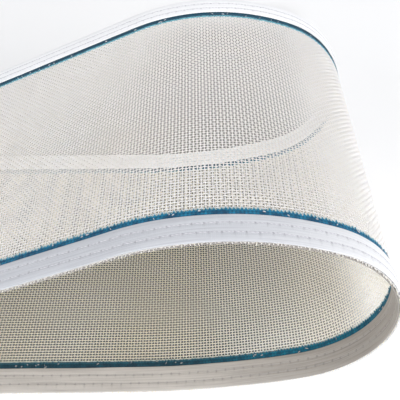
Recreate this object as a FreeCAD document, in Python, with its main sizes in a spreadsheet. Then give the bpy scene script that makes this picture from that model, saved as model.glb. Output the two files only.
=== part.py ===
"""Endless polyester mesh conveyor belt lying as a slack loop, with taped edges and a pinned joint.

Frame: +X along the belt, +Y across it, +Z up. The origin is under the middle of the loop,
on the surface that the lower run lies on. The joint is at x = 0, in the dip of the upper run.
"""
import FreeCAD, Part
import os

import Sketcher

Vector = FreeCAD.Vector
Rotation = FreeCAD.Rotation
Placement = FreeCAD.Placement

DRIVING_DIMENSIONS = {
    # the belt and what is fixed to it, in millimetres
    "belt_width": 200.0,
    "mesh_thickness": 1.4,
    "tape_width": 15.0,
    "tape_thickness": 0.6,
    "tape_setback": 0.5,        # mesh that shows outside the tape's outer edge
    "layer_gap": 0.05,          # room between two sewn layers
    "resin_width": 5.0,
    "resin_rise": 0.15,         # how far the resin stands above each face of the mesh
    # the two rows of lockstitch along each tape
    "row_inset": 4.7,           # from the tape's inner edge to the first row
    "row_pitch": 5.3,           # from the first row to the second
    "stitch_width": 0.5,
    "stitch_depth": 0.35,       # how deep the tight thread is drawn into the tape
    # the slack loop, along the middle of the mesh
    "dip_radius": 100.0,
    "incline_angle": 23.6,      # degrees
    "incline_length": 118.0,
    "crest_radius": 129.0,
    "shoulder_angle": 21.5,     # degrees, where the crest passes into the nose
    "nose_radius": 57.7,
    "heel_angle": 17.0,         # degrees, where the nose passes into the heel
    "heel_radius": 334.0,
    # the pinned joint
    "fold_length": 22.0,        # from the pin's axis to the end of the folded strip's legs
    "fold_thickness": 0.6,
    "pin_clearance": 0.05,
    "pin_overhang": 1.5,        # pin beyond the belt's far edge
    "pin_head_diameter": 3.6,
    "pin_head_thickness": 1.2,
    "pin_taper": 4.0,
    "pin_tip_diameter": 0.7,
    "head_gap": 0.3,
    "knuckle_count": 6,         # on each end of the belt
    "knuckle_gap": 0.3,         # between neighbouring knuckles
    "notch_gap": 0.5,           # from a knuckle's nose to the bottom of its notch
    "mesh_end_gap": 0.4,        # from the notch to the cut end of the mesh
    # the two rows of lockstitch across each folded strip
    "thread_diameter": 0.4,
    "first_row": 9.0,           # from the pin's axis to the nearest row
    "row_spacing": 8.0,
    "row_margin": 3.0,          # from the end of a row to the belt's edge
}

doc = FreeCAD.newDocument("mesh_belt")
sheet = doc.addObject("Spreadsheet::Sheet", "Dims")
for row, (alias, value) in enumerate(DRIVING_DIMENSIONS.items(), start=1):
    sheet.set("A%d" % row, alias)
    sheet.set("B%d" % row, str(value))
    sheet.setAlias("B%d" % row, alias)
doc.recompute()

# Heights and stations that several pieces share, as expressions on the sheet
MESH_FACE = "Dims.mesh_thickness / 2"
TAPE_FACE = MESH_FACE + " + Dims.layer_gap"
BASE_HEIGHT = TAPE_FACE + " + Dims.tape_thickness"
CREST_HEIGHT = (
    BASE_HEIGHT
    + " + Dims.heel_radius * (1 - cos(Dims.heel_angle))"
    + " + Dims.nose_radius * (cos(Dims.heel_angle) + cos(Dims.shoulder_angle))"
    + " + Dims.crest_radius * (1 - cos(Dims.shoulder_angle))"
)
JOINT_HEIGHT = (
    CREST_HEIGHT
    + " - (Dims.crest_radius + Dims.dip_radius) * (1 - cos(Dims.incline_angle))"
    + " - Dims.incline_length * sin(Dims.incline_angle)"
)
# the folded strip lies on both faces of the mesh, so the pin in the fold is about as thick as the mesh
FOLD_BORE = TAPE_FACE
PIN_RADIUS = FOLD_BORE + " - Dims.pin_clearance"
FOLD_OUTSIDE = FOLD_BORE + " + Dims.fold_thickness"
NOTCH_END = FOLD_OUTSIDE + " + Dims.notch_gap"
MESH_END = NOTCH_END + " + Dims.mesh_end_gap"
HALF_WIDTH = "Dims.belt_width / 2"
TAPE_INNER_EDGE = HALF_WIDTH + " - Dims.tape_setback - Dims.tape_width"


def size(alias):
    """The value that a cell of the sheet holds."""
    return float(sheet.get(alias))


def bind(sketch, constraint, expression):
    """Adds a driving constraint to a sketch and ties it to the sheet."""
    index = sketch.addConstraint(constraint)
    sketch.setExpression("Constraints[%d]" % index, expression)


def place(item, x=None, y=None, z=None):
    """Ties an object's position to the sheet."""
    for axis, expression in (("x", x), ("y", y), ("z", z)):
        if expression:
            item.setExpression("Placement.Base." + axis, expression)


def number(expression):
    """The present value of an expression on the sheet."""
    return float(sheet.evalExpression(expression))


def add_chain(sketch, start, steps):
    """Draws tangent lines and arcs one after another, first heading along +x.

    A step is (length,) for a line or (radius, turn in degrees) for an arc, a positive turn going left.
    """
    point = Vector(start[0], start[1], 0)
    heading = 0.0
    last_end = None
    for step in steps:
        along = Rotation(Vector(0, 0, 1), heading).multVec(Vector(1, 0, 0))
        if len(step) == 1:
            finish = point + along * step[0]
            index = sketch.addGeometry(Part.LineSegment(point, finish))
            begin_id, end_id = 1, 2
        else:
            radius, turn = step
            left = Vector(-along.y, along.x, 0)
            centre = point + left * (radius if turn > 0 else -radius)
            turned = Rotation(Vector(0, 0, 1), turn)
            finish = centre + turned.multVec(point - centre)
            circle = Part.Circle(centre, Vector(0, 0, 1), radius)
            first, second = (point, finish) if turn > 0 else (finish, point)
            arc = Part.ArcOfCircle(circle, circle.parameter(first), circle.parameter(second))
            index = sketch.addGeometry(arc)
            begin_id, end_id = (1, 2) if turn > 0 else (2, 1)
            heading += turn
        if last_end:
            sketch.addConstraint(Sketcher.Constraint("Tangent", *last_end, index, begin_id))
        last_end = (index, end_id)
        point = finish


def make_belt_path():
    """The middle of the mesh from the joint round the +X end to the middle of the lower run."""
    sketch = doc.addObject("Sketcher::SketchObject", "belt_path")
    sketch.Placement = Placement(Vector(), Rotation(Vector(1, 0, 0), 90))
    incline = size("incline_angle")
    shoulder = size("shoulder_angle")
    heel = size("heel_angle")
    mesh_end = number(MESH_END)
    land = size("fold_length") - mesh_end
    steps = [
        (land,),
        (size("dip_radius"), incline),
        (size("incline_length"),),
        (size("crest_radius"), -incline - shoulder),
        (size("nose_radius"), shoulder + heel - 180),
        (size("heel_radius"), -heel),
    ]
    add_chain(sketch, (mesh_end, number(JOINT_HEIGHT)), steps)
    heel_end = sketch.getPoint(5, 1)
    floor_line = sketch.addGeometry(Part.LineSegment(heel_end, Vector(0, heel_end.y, 0)))
    sketch.addConstraint(Sketcher.Constraint("Tangent", 5, 1, floor_line, 1))
    sketch.addConstraint(Sketcher.Constraint("Horizontal", 0))
    sketch.addConstraint(Sketcher.Constraint("Horizontal", floor_line))
    sketch.addConstraint(Sketcher.Constraint("PointOnObject", floor_line, 2, -2))
    bind(sketch, Sketcher.Constraint("DistanceX", -1, 1, 0, 1, mesh_end), MESH_END)
    bind(sketch, Sketcher.Constraint("DistanceX", -1, 1, 0, 2, mesh_end + land), "Dims.fold_length")
    bind(sketch, Sketcher.Constraint("DistanceY", -1, 1, floor_line, 2, heel_end.y), BASE_HEIGHT)
    for index, alias in ((1, "dip_radius"), (3, "crest_radius"), (4, "nose_radius"), (5, "heel_radius")):
        bind(sketch, Sketcher.Constraint("Radius", index, size(alias)), "Dims." + alias)
    bind(sketch, Sketcher.Constraint("Distance", 2, size("incline_length")), "Dims.incline_length")
    for index, turn, expression in (
        (1, incline, "Dims.incline_angle * 1 deg"),
        (3, incline + shoulder, "(Dims.incline_angle + Dims.shoulder_angle) * 1 deg"),
        (5, heel, "Dims.heel_angle * 1 deg"),
    ):
        angle = FreeCAD.Units.Quantity("%f deg" % turn)
        bind(sketch, Sketcher.Constraint("Angle", index, angle), expression)
    return sketch


def add_rectangle(sketch, width, depth):
    """A rectangle with one corner on the sketch's origin."""
    wide = number(width)
    deep = number(depth)
    corners = [Vector(0, 0, 0), Vector(wide, 0, 0), Vector(wide, deep, 0), Vector(0, deep, 0)]
    for side in range(4):
        sketch.addGeometry(Part.LineSegment(corners[side], corners[(side + 1) % 4]))
    for side in range(4):
        sketch.addConstraint(Sketcher.Constraint("Coincident", side, 2, (side + 1) % 4, 1))
        sketch.addConstraint(Sketcher.Constraint("Horizontal" if side % 2 == 0 else "Vertical", side))
    sketch.addConstraint(Sketcher.Constraint("Coincident", 0, 1, -1, 1))
    bind(sketch, Sketcher.Constraint("DistanceX", 0, 1, 0, 2, wide), width)
    bind(sketch, Sketcher.Constraint("DistanceY", 1, 1, 1, 2, deep), depth)


def add_wedge(sketch, width, depth, point_up):
    """A triangle with its flat side on the sketch's x axis, its point drawn in by the depth."""
    wide = number(width)
    deep = number(depth)
    corners = [Vector(0, 0, 0), Vector(wide, 0, 0), Vector(wide / 2, deep if point_up else -deep, 0)]
    for side in range(3):
        sketch.addGeometry(Part.LineSegment(corners[side], corners[(side + 1) % 3]))
    for side in range(3):
        sketch.addConstraint(Sketcher.Constraint("Coincident", side, 2, (side + 1) % 3, 1))
    sketch.addConstraint(Sketcher.Constraint("Coincident", 0, 1, -1, 1))
    sketch.addConstraint(Sketcher.Constraint("Horizontal", 0))
    sketch.addConstraint(Sketcher.Constraint("Equal", 1, 2))
    bind(sketch, Sketcher.Constraint("DistanceX", 0, 1, 0, 2, wide), width)
    low, high = ((0, 1), (2, 1)) if point_up else ((2, 1), (0, 1))
    bind(sketch, Sketcher.Constraint("DistanceY", *low, *high, deep), depth)


def add_upward_wedge(sketch, width, depth):
    add_wedge(sketch, width, depth, True)


def add_downward_wedge(sketch, width, depth):
    add_wedge(sketch, width, depth, False)


def sweep_round_belt(label, outline, y, z, width, depth, station="Dims.fold_length", first_edge=2):
    """Sweeps an outline along the path, mirrors it to the -X end and joins the halves.

    y and z place the outline's first corner, z from the middle of the mesh.
    """
    section = doc.addObject("Sketcher::SketchObject", label + "_section")
    section.Placement = Placement(Vector(), Rotation(Vector(1, 1, 1), 120))
    place(section, station, y, "(%s) + (%s)" % (JOINT_HEIGHT, z))
    outline(section, width, depth)
    sweep = doc.addObject("Part::Sweep", label + "_half")
    sweep.Sections = [section]
    sweep.Spine = (belt_path, ["Edge%d" % edge for edge in range(first_edge, 8)])
    sweep.Solid = True
    other_half = doc.addObject("Part::Mirroring", label + "_other_half")
    other_half.Source = sweep
    other_half.Normal = Vector(1, 0, 0)
    whole = doc.addObject("Part::MultiFuse", label)
    whole.Shapes = [sweep, other_half]
    whole.Refine = True
    whole.Label = label
    return whole


def mirror_to_near_edge(label, far_piece):
    """The same piece on the belt's near edge."""
    near_piece = doc.addObject("Part::Mirroring", label)
    near_piece.Source = far_piece
    near_piece.Normal = Vector(0, 1, 0)
    near_piece.Label = label
    return near_piece


def origin_feature(body, role):
    """One of a body's own origin planes or axes."""
    return next(item for item in body.Origin.OriginFeatures if item.Role == role)


def sketch_on(body, name, role):
    """A sketch on one of the body's own origin planes."""
    sketch = body.newObject("Sketcher::SketchObject", name)
    sketch.AttachmentSupport = [(origin_feature(body, role), "")]
    sketch.MapMode = "FlatFace"
    return sketch


def make_joint_strip(label, turn):
    """A strip folded round the pin, its legs on both faces of the mesh, its nose cut into knuckles."""
    body = doc.addObject("PartDesign::Body", label)
    body.Label = label
    fold = sketch_on(body, label + "_fold", "XZ_Plane")
    leg = size("fold_length")
    inside = number(FOLD_BORE)
    outside = number(FOLD_OUTSIDE)
    up = Vector(0, 0, 1)
    for radius in (inside, outside):
        circle = Part.Circle(Vector(), up, radius)
        top = circle.parameter(Vector(0, radius, 0))
        bottom = circle.parameter(Vector(0, -radius, 0))
        fold.addGeometry(Part.ArcOfCircle(circle, top, bottom))
    for height in (inside, outside, -inside, -outside):
        fold.addGeometry(Part.LineSegment(Vector(0, height, 0), Vector(leg, height, 0)))
    for low, high in ((inside, outside), (-outside, -inside)):
        fold.addGeometry(Part.LineSegment(Vector(leg, low, 0), Vector(leg, high, 0)))
    # geometry: 0 inner arc, 1 outer arc, 2 to 5 the legs' faces, 6 and 7 the legs' ends
    for arc in (0, 1):
        fold.addConstraint(Sketcher.Constraint("Coincident", arc, 3, -1, 1))
    for arc, point, line in ((0, 1, 2), (1, 1, 3), (0, 2, 4), (1, 2, 5)):
        fold.addConstraint(Sketcher.Constraint("Tangent", arc, point, line, 1))
    for end, low_line, high_line in ((6, 2, 3), (7, 5, 4)):
        fold.addConstraint(Sketcher.Constraint("Coincident", end, 1, low_line, 2))
        fold.addConstraint(Sketcher.Constraint("Coincident", end, 2, high_line, 2))
        fold.addConstraint(Sketcher.Constraint("Vertical", end))
    for line in (2, 4):
        fold.addConstraint(Sketcher.Constraint("Horizontal", line))
        bind(fold, Sketcher.Constraint("DistanceX", -1, 1, line, 2, leg), "Dims.fold_length")
    bind(fold, Sketcher.Constraint("Radius", 0, inside), FOLD_BORE)
    bind(fold, Sketcher.Constraint("Radius", 1, outside), FOLD_OUTSIDE)
    pad = body.newObject("PartDesign::Pad", label + "_strip")
    pad.Profile = fold
    pad.SideType = "Symmetric"
    pad.setExpression("Length", "Dims.belt_width")

    pitch = "Dims.belt_width / Dims.knuckle_count"
    notch = sketch_on(body, label + "_notch", "XY_Plane")
    notch.setExpression("AttachmentOffset.Base.x", "-(%s) - Dims.notch_gap" % FOLD_OUTSIDE)
    notch.setExpression(
        "AttachmentOffset.Base.y", "-%s + (%s - Dims.knuckle_gap) / 2" % (HALF_WIDTH, pitch)
    )
    add_rectangle(
        notch,
        "%s + %s + Dims.notch_gap" % (NOTCH_END, FOLD_OUTSIDE),
        "%s / 2 + Dims.knuckle_gap" % pitch,
    )
    pocket = body.newObject("PartDesign::Pocket", label + "_first_notch")
    pocket.Profile = notch
    pocket.Type = "ThroughAll"
    pocket.SideType = "Symmetric"
    doc.recompute()
    pattern = body.newObject("PartDesign::LinearPattern", label + "_notches")
    pattern.Originals = [pocket]
    pattern.Direction = (origin_feature(body, "Y_Axis"), [""])
    pattern.setExpression("Length", "%s * (Dims.knuckle_count - 1)" % pitch)
    pattern.setExpression("Occurrences", "Dims.knuckle_count")
    body.Tip = pattern
    body.Placement = Placement(Vector(), Rotation(Vector(0, 0, 1), turn))
    place(body, z=JOINT_HEIGHT)
    return body


def make_joint_pin():
    """The pin that links the two rows of knuckles, with a flat head on the near side and a tapered tip."""
    body = doc.addObject("PartDesign::Body", "joint_pin")
    body.Label = "joint_pin"
    half = sketch_on(body, "pin_half_section", "XY_Plane")
    shaft = number(PIN_RADIUS)
    head = size("pin_head_diameter") / 2
    seat = -number(HALF_WIDTH) - size("head_gap")
    top = seat - size("pin_head_thickness")
    tip = number(HALF_WIDTH) + size("pin_overhang")
    taper = tip - size("pin_taper")
    point = size("pin_tip_diameter") / 2
    outline = [(0, top), (head, top), (head, seat), (shaft, seat), (shaft, taper), (point, tip), (0, tip)]
    for (x0, y0), (x1, y1) in zip(outline, outline[1:] + outline[:1]):
        half.addGeometry(Part.LineSegment(Vector(x0, y0, 0), Vector(x1, y1, 0)))
    last = len(outline) - 1
    for index in range(len(outline)):
        follower = (index + 1) % len(outline)
        half.addConstraint(Sketcher.Constraint("Coincident", index, 2, follower, 1))
    for index in (0, 2, 5):
        half.addConstraint(Sketcher.Constraint("Horizontal", index))
    for index in (1, 3):
        half.addConstraint(Sketcher.Constraint("Vertical", index))
    half.addConstraint(Sketcher.Constraint("PointOnObject", last, 1, -2))
    half.addConstraint(Sketcher.Constraint("PointOnObject", last, 2, -2))
    for index, point_id, value, expression in (
        (1, 1, head, "Dims.pin_head_diameter / 2"),
        (3, 1, shaft, PIN_RADIUS),
        (4, 2, point, "Dims.pin_tip_diameter / 2"),
    ):
        bind(half, Sketcher.Constraint("DistanceX", -1, 1, index, point_id, value), expression)
    bind(half, Sketcher.Constraint("DistanceY", 2, 1, -1, 1, -seat), HALF_WIDTH + " + Dims.head_gap")
    bind(half, Sketcher.Constraint("DistanceY", 1, 1, 1, 2, seat - top), "Dims.pin_head_thickness")
    bind(half, Sketcher.Constraint("DistanceY", -1, 1, 5, 1, tip), HALF_WIDTH + " + Dims.pin_overhang")
    bind(half, Sketcher.Constraint("DistanceY", 4, 1, 4, 2, tip - taper), "Dims.pin_taper")
    turned = body.newObject("PartDesign::Revolution", "pin_turned")
    turned.Profile = half
    turned.ReferenceAxis = (half, ["V_Axis"])
    turned.Angle = 360
    body.Tip = turned
    place(body, z=JOINT_HEIGHT)
    return body


def make_joint_threads():
    """Sewing of the folded strips: needle threads on the outer face, bobbin threads on the inner face."""
    threads = []
    lift = "(%s + Dims.thread_diameter / 2 * cos(30))" % FOLD_OUTSIDE
    for end, side in (("right", ""), ("left", "-")):
        for row in (1, 2):
            for name, sign in (("needle", "+"), ("bobbin", "-")):
                label = "%s_joint_row_%d_%s_thread" % (end, row, name)
                thread = doc.addObject("Part::Prism", label)
                thread.Label = label
                thread.Polygon = 6
                thread.setExpression("Circumradius", "Dims.thread_diameter / 2")
                thread.setExpression("Height", "Dims.belt_width - 2 * Dims.row_margin")
                thread.Placement = Placement(Vector(), Rotation(Vector(1, 0, 0), -90))
                place(
                    thread,
                    "%s(Dims.first_row + %d * Dims.row_spacing)" % (side, row - 1),
                    "Dims.row_margin - %s" % HALF_WIDTH,
                    "%s %s %s" % (JOINT_HEIGHT, sign, lift),
                )
                threads.append(thread)
    return threads


def make_far_edge():
    """Tapes, resin line and sewing of the belt's far edge."""
    tape = ("Dims.tape_width", "Dims.tape_thickness")
    stitch = ("Dims.stitch_width", "Dims.stitch_depth")
    inner_face = "-(%s)" % BASE_HEIGHT
    pieces = [
        sweep_round_belt("far_outer_tape", add_rectangle, TAPE_INNER_EDGE, TAPE_FACE, *tape),
        sweep_round_belt("far_inner_tape", add_rectangle, TAPE_INNER_EDGE, inner_face, *tape),
        sweep_round_belt(
            "far_resin_line",
            add_rectangle,
            TAPE_INNER_EDGE + " - Dims.resin_width",
            "-%s - Dims.resin_rise" % MESH_FACE,
            "Dims.resin_width",
            "Dims.mesh_thickness + 2 * Dims.resin_rise",
        ),
    ]
    for row in (1, 2):
        middle = "%s + Dims.row_inset + %d * Dims.row_pitch" % (TAPE_INNER_EDGE, row - 1)
        line = middle + " - Dims.stitch_width / 2"
        needle = "far_tape_row_%d_needle_thread" % row
        bobbin = "far_tape_row_%d_bobbin_thread" % row
        pieces.append(sweep_round_belt(needle, add_downward_wedge, line, BASE_HEIGHT, *stitch))
        pieces.append(sweep_round_belt(bobbin, add_upward_wedge, line, inner_face, *stitch))
    return pieces


belt_path = make_belt_path()
doc.recompute()

mesh_fabric = sweep_round_belt(
    "mesh_fabric",
    add_rectangle,
    "-%s" % HALF_WIDTH,
    "-%s" % MESH_FACE,
    "Dims.belt_width",
    "Dims.mesh_thickness",
    station=MESH_END,
    first_edge=1,
)
far_edge = make_far_edge()
near_edge = [mirror_to_near_edge(piece.Label.replace("far", "near"), piece) for piece in far_edge]
joint = [
    make_joint_strip("right_joint_strip", 0),
    make_joint_strip("left_joint_strip", 180),
    make_joint_pin(),
]
sub_parts = [mesh_fabric] + far_edge + near_edge + joint + make_joint_threads()
doc.recompute()

for item in doc.Objects:
    if "Invalid" in item.State or "Error" in item.State:
        raise RuntimeError("%s did not build: %s" % (item.Label, item.State))
for sub_part in sub_parts:
    if sub_part.Shape.isNull() or not sub_part.Shape.isValid():
        raise RuntimeError("%s has no valid shape" % sub_part.Label)

os.makedirs("parts", exist_ok=True)
for sub_part in sub_parts:
    sub_part.Shape.exportStep("parts/%s.step" % sub_part.Label)
    print("%-34s %10.2f mm3" % (sub_part.Label, sub_part.Shape.Volume))
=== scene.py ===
"""Polyester mesh conveyor belt, lying as a slack loop: its weave, tapes, sewing, resin and pinned joint.

Lengths are in millimetres until a mesh is made. A place on the belt is (along, across, height): along the
loop from the joint, across from the middle of the belt, and out from the middle of the mesh, where a
positive height is on the belt's outer face.
"""
import math

import bpy
import numpy as np
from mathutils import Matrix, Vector


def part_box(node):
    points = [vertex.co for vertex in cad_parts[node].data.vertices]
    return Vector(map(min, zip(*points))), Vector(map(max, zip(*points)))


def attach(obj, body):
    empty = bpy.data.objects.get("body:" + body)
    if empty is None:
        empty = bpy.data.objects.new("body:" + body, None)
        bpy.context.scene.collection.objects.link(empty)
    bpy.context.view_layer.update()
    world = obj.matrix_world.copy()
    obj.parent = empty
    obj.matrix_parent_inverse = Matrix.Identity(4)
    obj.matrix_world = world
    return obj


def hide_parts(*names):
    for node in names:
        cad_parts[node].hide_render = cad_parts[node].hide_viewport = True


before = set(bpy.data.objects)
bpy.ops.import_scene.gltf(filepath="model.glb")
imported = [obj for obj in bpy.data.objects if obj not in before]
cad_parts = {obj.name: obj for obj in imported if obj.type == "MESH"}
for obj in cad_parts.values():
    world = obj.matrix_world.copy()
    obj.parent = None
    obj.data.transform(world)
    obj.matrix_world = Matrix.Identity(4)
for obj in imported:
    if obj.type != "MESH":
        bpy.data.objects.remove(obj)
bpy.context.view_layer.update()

MM = 0.001
PHOTO_SIZE = 400

# The slack loop along the middle of the mesh, from the joint to the middle of the lower run
JOINT_LAND = 22.0
DIP_RADIUS = 100.0
INCLINE_ANGLE = 23.6
INCLINE_LENGTH = 118.0
CREST_RADIUS = 129.0
SHOULDER_ANGLE = 21.5
NOSE_RADIUS = 57.7
HEEL_ANGLE = 17.0
HEEL_RADIUS = 334.0

# The weave
THREAD_PITCH = 1.75
WARP_WIDTH = 0.74
WEFT_WIDTH = 0.58
WARP_HEIGHT = 0.70
WEFT_HEIGHT = 0.66
MESH_FACE = 0.70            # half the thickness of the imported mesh
MESH_END = 2.25             # from the pin's axis to the cut end of the mesh

# The edge tapes and their sewing
TAPE_THICKNESS = 0.6
LAYER_GAP = 0.05
TAPE_FACE = MESH_FACE + LAYER_GAP
TAPE_TOP = TAPE_FACE + TAPE_THICKNESS
STITCH_PITCH = 5.3
STITCH_ROWS = (4.7, 10.0)   # from the tape's inner edge
STITCH_RADIUS = 0.2
SEWING_MARGIN = 2.0         # from the ends of the tape
STITCH_UNEVEN = 0.16        # spread of the stitch lengths
STITCH_STRAY = 0.07         # spread of the needle holes across their row
ROW_WAVER = 0.18            # how far a row sways to each side
ROW_WAVER_LENGTH = 37.0     # for each radian of that sway

# The resin line, with its height between the threads and on their crests
RESIN_WIDTH = 5.0
RESIN_LOW = 0.26
RESIN_HIGH = 0.70
RESIN_HOLLOW = 1.3          # from the line's inner edge to the hollows between the teeth of its border
RESIN_CREEP = (0.5, 1.7)    # length of those teeth, from the shortest to the longest
RESIN_UNDER_TAPE = 0.15
STAIN_FADE = (0.7, 2.2)     # from the line's edges in, where its stain on the threads starts and is full
STAIN_UNEVEN = 1.6          # how far the stain's edge varies from thread to thread

# Distances from the joint between which the painted shade on the outer face near the joint ends, and the
# inner face's painted light and shade turn from the bulged ends to the flat lower run
JOINT_SHADE_UP_TO = 225.0
JOINT_SHADE_GONE_FROM = 345.0
BULGED_UP_TO = 410.0
FLAT_RUN_FROM = 500.0

# The camera, fitted to the belt's edges in the photograph
CAMERA_PLACE = (207.2, -262.8, 331.0)
CAMERA_PITCH = 46.41        # degrees below the horizon
CAMERA_YAW = 0.64           # degrees to the right of +Y
FOCAL_PIXELS = 617.8
SENSOR_WIDTH = 36.0


def node_box(node):
    """Lowest and highest corner of a CAD node in millimetres."""
    low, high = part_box(node)
    return np.array(low) / MM, np.array(high) / MM


HALF_BELT = node_box("mesh_fabric")[1][1]
TAPE_INNER_EDGE, TAPE_OUTER_EDGE = (corner[1] for corner in node_box("far_outer_tape"))
TAPE_WIDTH = TAPE_OUTER_EDGE - TAPE_INNER_EDGE
JOINT_HEIGHT = sum(corner[2] for corner in node_box("joint_pin")) / 2


def half_loop():
    """Start, heading, curvature and length of each stretch of half the loop; the flat lower run is last."""
    steps = [
        (JOINT_LAND, 0.0),
        (DIP_RADIUS, INCLINE_ANGLE),
        (INCLINE_LENGTH, 0.0),
        (CREST_RADIUS, -INCLINE_ANGLE - SHOULDER_ANGLE),
        (NOSE_RADIUS, SHOULDER_ANGLE + HEEL_ANGLE - 180),
        (HEEL_RADIUS, -HEEL_ANGLE),
    ]
    x, z, heading = 0.0, JOINT_HEIGHT, 0.0
    stretches = []
    for size, turn in steps:
        turn = math.radians(turn)
        length = size * abs(turn) if turn else size
        curvature = turn / length
        stretches.append((x, z, heading, curvature, length))
        if turn:
            x += (math.sin(heading + turn) - math.sin(heading)) / curvature
            z -= (math.cos(heading + turn) - math.cos(heading)) / curvature
        else:
            x += length * math.cos(heading)
            z += length * math.sin(heading)
        heading += turn
    stretches.append((x, z, heading, 0.0, x))
    return np.array(stretches)


STRETCHES = half_loop()
STRETCH_STARTS = np.concatenate([[0], np.cumsum(STRETCHES[:, 4])])
HALF_LENGTH = STRETCH_STARTS[-1]
LOOP_LENGTH = 2 * HALF_LENGTH
TAPE_START = JOINT_LAND
TAPE_LENGTH = LOOP_LENGTH - 2 * TAPE_START


def on_belt(along, across, height):
    """Points in metres at places on the belt; along runs from the joint once round to the joint again."""
    along, across, height = np.broadcast_arrays(along, across, height)
    mirrored = along > HALF_LENGTH
    distance = np.where(mirrored, LOOP_LENGTH - along, along)
    index = np.clip(np.searchsorted(STRETCH_STARTS, distance, side="right") - 1, 0, len(STRETCHES) - 1)
    x, z, heading, curvature, _ = np.moveaxis(STRETCHES[index], -1, 0)
    ahead = distance - STRETCH_STARTS[index]
    turned = heading + curvature * ahead
    bent = curvature != 0
    safe = np.where(bent, curvature, 1.0)
    x = x + np.where(bent, (np.sin(turned) - np.sin(heading)) / safe, ahead * np.cos(heading))
    z = z - np.where(bent, (np.cos(turned) - np.cos(heading)) / safe, -ahead * np.sin(heading))
    x = x - np.sin(turned) * height
    z = z + np.cos(turned) * height
    return np.stack([np.where(mirrored, -x, x), across, z], axis=-1) * MM


def linear(colour):
    """An sRGB hex colour as linear red, green, blue and alpha."""
    channels = [int(colour[i:i + 2], 16) / 255 for i in (1, 3, 5)]
    return [c / 12.92 if c <= 0.04045 else ((c + 0.055) / 1.055) ** 2.4 for c in channels] + [1.0]


COLOUR_MIX = {"data_type": "RGBA"}      # its two colours are inputs 6 and 7, and the mixed one is output 2
SMOOTH_STEP = {"interpolation_type": "SMOOTHSTEP"}


def add_node(tree, kind, settings=None, inputs=None):
    """Adds one node; an input is a plain value, a hex colour, or a socket that is linked to it."""
    node = tree.nodes.new("ShaderNode" + kind)
    for name, value in (settings or {}).items():
        setattr(node, name, value)
    for name, value in (inputs or {}).items():
        if isinstance(value, bpy.types.NodeSocket):
            tree.links.new(value, node.inputs[name])
        else:
            node.inputs[name].default_value = linear(value) if isinstance(value, str) else value
    return node


def start_material(name):
    material = bpy.data.materials.new(name)
    material.use_nodes = True
    material.node_tree.nodes.clear()
    return material, material.node_tree


def finish_material(tree, shader):
    add_node(tree, "OutputMaterial", inputs={"Surface": shader.outputs[0]})


def belt_place(tree):
    """The place on the belt: the node that reads it and the one that takes it apart."""
    belt = add_node(tree, "Attribute", {"attribute_name": "belt_place"})
    return belt, add_node(tree, "SeparateXYZ", inputs={"Vector": belt.outputs["Vector"]})


def joint_ramp(tree, parts, start, end):
    """A smooth share from 0 to 1 between two distances from the joint, on both halves of the loop."""
    from_joint = add_node(tree, "Math", {"operation": "PINGPONG"}, {
        0: parts.outputs["X"], 1: HALF_LENGTH})
    return add_node(tree, "MapRange", SMOOTH_STEP, {
        "Value": from_joint.outputs[0], "From Min": start, "From Max": end})


def seen_rays(tree):
    """1 for rays from the camera, also by way of gloss or glass, and 0 for light on the object."""
    ray = add_node(tree, "LightPath")
    mirrored = add_node(tree, "Math", {"operation": "MAXIMUM"}, {
        0: ray.outputs["Is Glossy Ray"], 1: ray.outputs["Is Transmission Ray"]})
    return add_node(tree, "Math", {"operation": "MAXIMUM"}, {
        0: ray.outputs["Is Camera Ray"], 1: mirrored.outputs[0]})


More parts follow.
